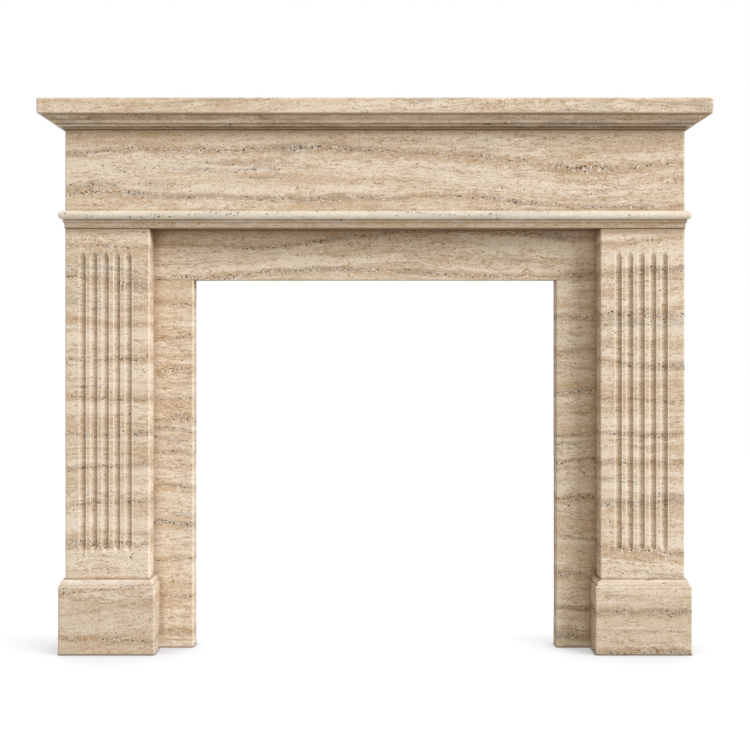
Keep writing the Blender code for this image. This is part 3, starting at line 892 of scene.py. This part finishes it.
def bed_profile():
    """Bed moulding from its bead up: bead, cavetto, fillet, quirk, cyma and top fillet."""
    half_bead = BED_BEAD / 2
    bead_in = BED_BEAD_OUT - half_bead
    bead_high = bed_low.z + BED_BEAD
    fillet_out = BED_BEAD_OUT + BED_FILLET_OUT
    fillet_low = bead_high + BED_CAVETTO
    fillet_high = fillet_low + BED_FILLET
    quirk_in = fillet_out - BED_QUIRK_DEPTH
    cyma_low = fillet_high + BED_QUIRK
    cyma_high = bed_high.z - BED_TOP_FILLET
    rise = (cyma_high - cyma_low) / 2
    run = BED_CYMA_OUT / 2
    points = [(0.0, bed_low.z)]
    points += arc((bead_in, bed_low.z + half_bead), (half_bead, half_bead), -pi / 2, pi / 2, 6)
    points += arc((fillet_out, bead_high), (fillet_out - bead_in, BED_CAVETTO), pi, pi / 2, 5)[1:]
    points += [(fillet_out, fillet_high), (quirk_in, fillet_high), (quirk_in, cyma_low)]
    points += arc((fillet_out, cyma_low + rise), (run, rise), -pi / 2, 0, 7)
    points += arc((fillet_out + 2 * run, cyma_low + rise), (run, rise), pi, pi / 2, 7)[1:]
    out = bed_high.x - HALF
    return points + [(out, cyma_high), (out, bed_high.z)]


rings = [at_height(long_plan(out, MITRE_EASING), z) for out, z in moulding(bed_profile())]
painted_tones = {"grime": [band_from(bed_low.z, *BED_SHADE)], "hollow_shade": BED_HOLLOW_SHADE, "openness": MOULDING_OPENNESS}
dressed(skin("bed_moulding", rings), "bed_moulding", origin=(6.6, 4.1, 3.35), seed=71, **painted_tones)


# Shelf. One flat slab of travertine, honed on top, bottom, front and ends and laid on the bed moulding. All
# its arrises are eased except those at the wall.

SHELF_EASING = 0.0030
SHELF_GRAIN = 0.0030
# Painted shade on the shelf's lower arris and underside: heights from the underside, and full share
SHELF_SHADE = (0.0022, 0.0006, 0.35)
shelf_low, shelf_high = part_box("mantel_shelf")


def shelf_ring(x, inset):
    """Upright section of the slab at one place along it, drawn in a little near the ends."""
    low, high, front = shelf_low.z + inset, shelf_high.z - inset, shelf_low.y + inset
    corners = [(WALL, low), (front, low), (front, high), (WALL, high)]
    deep = steps_over(WALL - shelf_low.y, SHELF_GRAIN)
    counts = [deep, steps_over(shelf_high.z - shelf_low.z), deep]
    return [(x, y, z) for y, z in walk(corners, counts, {1, 2}, SHELF_EASING)]


end_turns = [pi / 2 * k / ARC_STEPS for k in range(ARC_STEPS + 1)]
ends = [(shelf_high.x - SHELF_EASING * (1 - sin(t)), SHELF_EASING * (1 - cos(t))) for t in end_turns]
straight = shelf_high.x - SHELF_EASING
middles = np.linspace(-straight, straight, steps_over(2 * straight, SHELF_GRAIN) + 1)[1:-1]
stations = [(-x, inset) for x, inset in reversed(ends)] + [(x, 0.0) for x in middles] + ends
stone = skin("mantel_shelf", [shelf_ring(x, inset) for x, inset in stations])
grime = [band_from(shelf_low.z, *SHELF_SHADE)]
dressed(stone, "mantel_shelf", origin=(0.6, 5.2, 1.9), seed=81, grime=grime)


# Studio. A plain white floor and surround under soft light: a wide key light high at the right, a faint one
# low in front, and the camera level, straight in front of the mantel.

FOCAL_PIXELS = 1200
IMAGE_PIXELS = 750
SENSOR = 36.0
CAMERA_DISTANCE = 2.4287  # in front of the shelf
CAMERA_HEIGHT = 0.6577
HORIZON_ROW = 335
AIM = Vector((0.0, 0.0, 0.6))
KEY_TURN = 56  # degrees to the right of straight in front
KEY_RISE = 32  # degrees above the floor
KEY_DISTANCE = 24.0
KEY_SIZE = 13.9
KEY_POWER = 6600.0
KEY_TINT = (0.92, 0.97, 1.07)
FILL_TURN = -10
FILL_RISE = 3
FILL_DISTANCE = 7.0
FILL_SIZE = 4.0
FILL_POWER = 35.0
FILL_TINT = (1.0, 0.97, 0.92)
SURROUND_LIGHT = 0.385
SURROUND_TINT = (1.0, 0.91, 0.78, 1.0)
FLOOR_SIZE = 8.0
FLOOR_BOUNCE = 0.22
FLOOR_GLOW = 0.84
FLOOR_LIGHT = 0.40  # how much the floor lights the stone from below
# Painted shadow: ambient occlusion dims the floor's glow near the stones.
FLOOR_SHADES = (  # how far off a stone still shades the floor, then values as for the stone's layers
    (0.32, (0.20, 0.95, 0.52, 1.0)),
    (0.006, (0.45, 0.95, 0.35, 1.0)),
)
GLOW_BEHIND = (0.06, 0.20)  # the glow grows to full white between these distances behind the middle
FLOOR_DROP = 0.0005
WHITE = (1.0, 1.0, 1.0, 1.0)


def soft_light(name, turn, rise, distance, size, power, tint):
    """Soft square light at a turn and a rise from the mantel, facing it."""
    lamp = bpy.data.lights.new(name, "AREA")
    lamp.size = size
    lamp.energy = power
    lamp.color = tint
    holder = bpy.data.objects.new(name, lamp)
    turn, rise = radians(turn), radians(rise)
    way = Vector((sin(turn) * cos(rise), -cos(turn) * cos(rise), sin(rise)))
    holder.location = AIM + distance * way
    holder.rotation_euler = (-way).to_track_quat("-Z", "Y").to_euler()
    bpy.context.scene.collection.objects.link(holder)


def floor():
    """Wide white floor, level with the hearth, that glows white to the camera; its shadows near the feet of
    the mantel are partly real and partly painted on the glow by ambient occlusion.
    """
    bpy.ops.mesh.primitive_plane_add(size=FLOOR_SIZE, location=(0.0, 0.0, -FLOOR_DROP))
    plane = bpy.context.object
    plane.name = "studio_floor"
    material = bpy.data.materials.new("white_floor")
    material.use_nodes = True
    tree = Tree(material.node_tree)
    shader = material.node_tree.nodes["Principled BSDF"]
    shader.inputs["Base Color"].default_value = (FLOOR_BOUNCE, FLOOR_BOUNCE, FLOOR_BOUNCE, 1.0)
    shader.inputs["Roughness"].default_value = 1.0
    shader.inputs["Emission Color"].default_value = WHITE
    seen = tree.add("ShaderNodeLightPath").outputs["Is Camera Ray"]
    behind = tree.add("ShaderNodeSeparateXYZ", tree.add("ShaderNodeTexCoord").outputs["Object"]).outputs[1]
    glow = tree.between(behind, *GLOW_BEHIND, FLOOR_GLOW, 1.0)
    # Painted shadow on the glow, by ambient occlusion.
    for distance, shade in FLOOR_SHADES:
        near = tree.add("ShaderNodeAmbientOcclusion", samples=6)
        tree.feed(near.inputs["Distance"], distance)
        glow = tree.reckon("MULTIPLY", glow, tree.between(near.outputs["AO"], *shade))
    shown = tree.add("ShaderNodeMix", seen, data_type="FLOAT")
    for socket, value in zip(shown.inputs[2:4], (FLOOR_LIGHT, glow)):
        tree.feed(socket, value)
    tree.feed(shader.inputs["Emission Strength"], shown.outputs[0])
    plane.data.materials.append(material)


def surround():
    """White surroundings that light the stone less than they show."""
    world = bpy.data.worlds.new("studio_white")
    world.use_nodes = True
    tree = Tree(world.node_tree)
    seen = tree.add("ShaderNodeLightPath").outputs["Is Camera Ray"]
    background = world.node_tree.nodes["Background"]
    tint = tree.add("ShaderNodeMix", data_type="RGBA")
    for place_in, value in ((0, seen), (6, SURROUND_TINT), (7, WHITE)):
        tree.feed(tint.inputs[place_in], value)
    tree.feed(background.inputs["Color"], tint.outputs[2])
    tree.feed(background.inputs["Strength"], tree.reckon("MAXIMUM", seen, SURROUND_LIGHT))
    bpy.context.scene.world = world


def camera():
    """Level camera in front of the mantel, framed by a vertical shift."""
    lens = bpy.data.cameras.new("front_camera")
    lens.sensor_width = SENSOR
    lens.lens = FOCAL_PIXELS / IMAGE_PIXELS * SENSOR
    lens.shift_y = (HORIZON_ROW - IMAGE_PIXELS / 2) / IMAGE_PIXELS
    holder = bpy.data.objects.new("front_camera", lens)
    holder.location = (0.0, shelf_low.y - CAMERA_DISTANCE, CAMERA_HEIGHT)
    holder.rotation_euler = (pi / 2, 0.0, 0.0)
    bpy.context.scene.collection.objects.link(holder)
    bpy.context.scene.camera = holder


floor()
surround()
soft_light("key_light", KEY_TURN, KEY_RISE, KEY_DISTANCE, KEY_SIZE, KEY_POWER, KEY_TINT)
soft_light("fill_light", FILL_TURN, FILL_RISE, FILL_DISTANCE, FILL_SIZE, FILL_POWER, FILL_TINT)
camera()
bpy.context.scene.view_settings.view_transform = "Standard"
